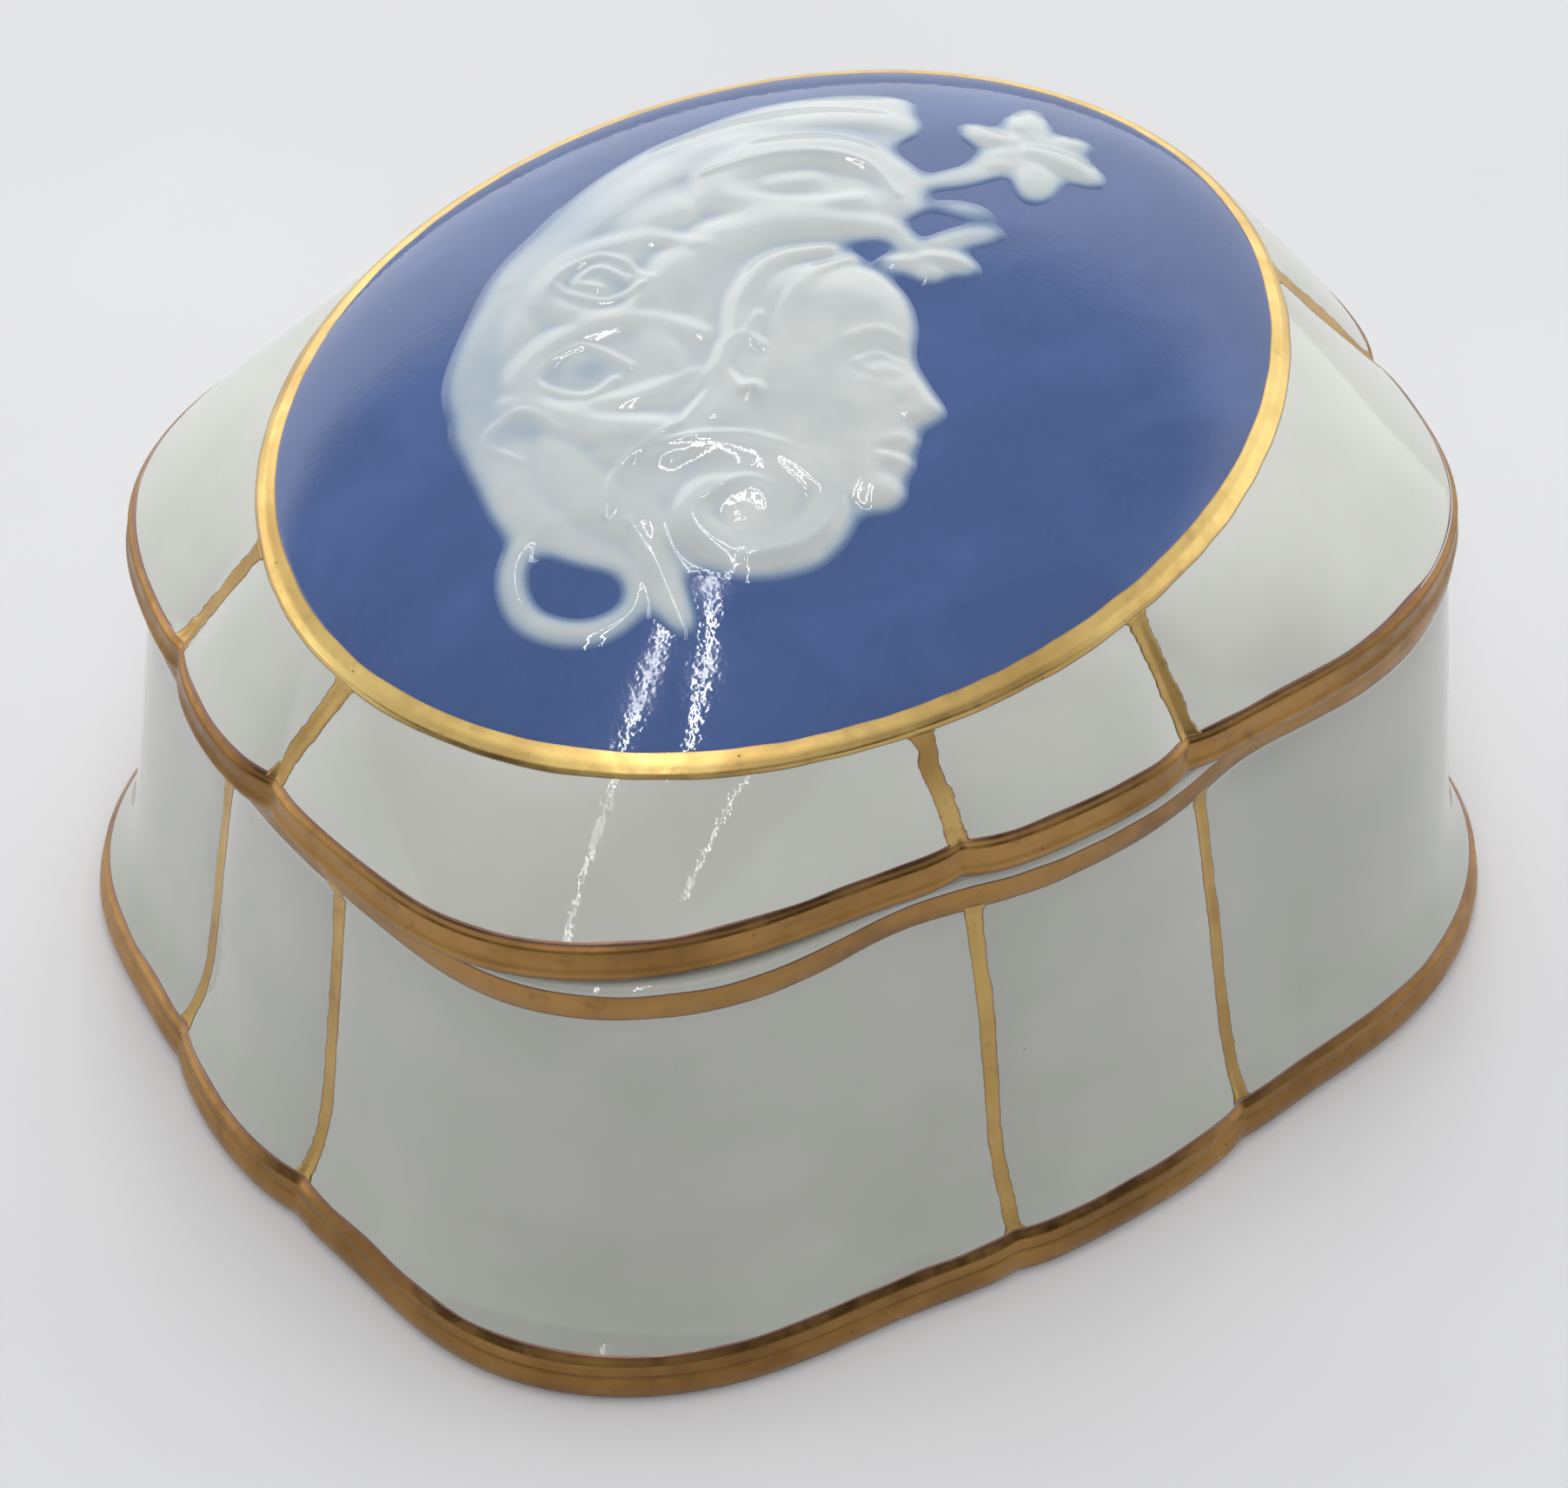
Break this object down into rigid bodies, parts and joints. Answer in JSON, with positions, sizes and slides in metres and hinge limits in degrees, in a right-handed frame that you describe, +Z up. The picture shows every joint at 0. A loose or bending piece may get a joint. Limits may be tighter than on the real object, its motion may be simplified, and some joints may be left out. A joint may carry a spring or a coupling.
{
  "type": "lidded porcelain trinket box",
  "caption": "Low lobed porcelain box with a loose lift-off domed lid, gilded edges and ribs, and a white relief head with flowing hair on a blue oval.",
  "frame": {"origin": "on the table, in the middle of the foot", "axes": "+X along the box's long side, +Y across it, +Z up; the head's crown lies towards +X and +Y"},
  "size_m": [0.1184, 0.0982, 0.0677],
  "materials": {
    "porcelain": "clear glossy glaze over greenish white porcelain",
    "blue_ground": "glossy mid blue under the glaze",
    "white_slip": "white slip in low relief under the glaze",
    "gilding": "fired gold, rubbed and a little brown at the edges"
  },
  "bodies": {
    "base": {"base_body": "porcelain", "base_rim_gilding": "gilding", "base_rib_gilding": "gilding", "foot_gilding": "gilding"},
    "lid": {"lid_body": "porcelain", "lid_rim_gilding": "gilding", "lid_rib_gilding": "gilding", "cameo_border_gilding": "gilding", "cameo_ground": "blue_ground", "cameo_head": "white_slip", "cameo_hair": "white_slip", "cameo_flowers": "white_slip"}
  },
  "joints": [
    {"name": "lid_lift", "type": "slide", "parent": "base", "child": "lid", "axis": [0, 0, 1], "range_m": [0, 0.06]}
  ]
}
